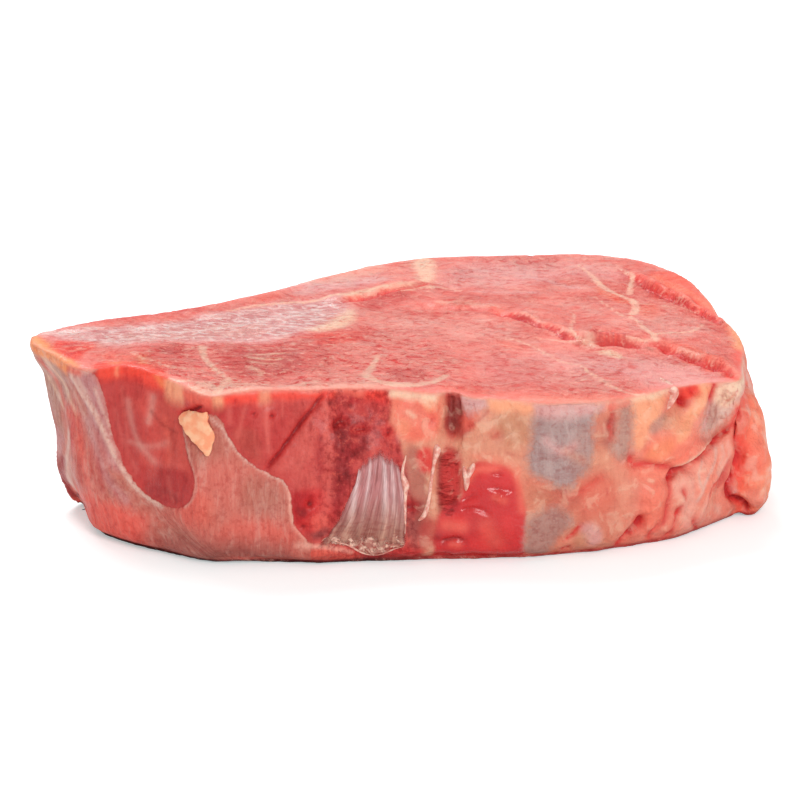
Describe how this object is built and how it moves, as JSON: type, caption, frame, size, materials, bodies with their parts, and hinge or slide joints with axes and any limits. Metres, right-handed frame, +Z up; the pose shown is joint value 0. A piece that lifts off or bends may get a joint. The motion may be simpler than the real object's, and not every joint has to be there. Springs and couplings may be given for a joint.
{
  "type": "raw chuck tender steak",
  "caption": "Thick raw beef steak with a pointed end, a stepped upper cut face, and fat, silverskin and a hanging fold of fat on its sides, resting on its lower cut face.",
  "frame": {"origin": "the middle of the part's footprint box, on the plane that it rests on", "axes": "+X to the steak's round right end, +Y away from the side with the silverskin and fat, +Z up out of the upper cut face"},
  "size_m": [0.166, 0.121, 0.041],
  "materials": {
    "raw_meat": "moist raw muscle with cream fat, grey silverskin and a thin pale membrane"
  },
  "bodies": {
    "root": {"steak": "raw_meat"}
  },
  "joints": []
}
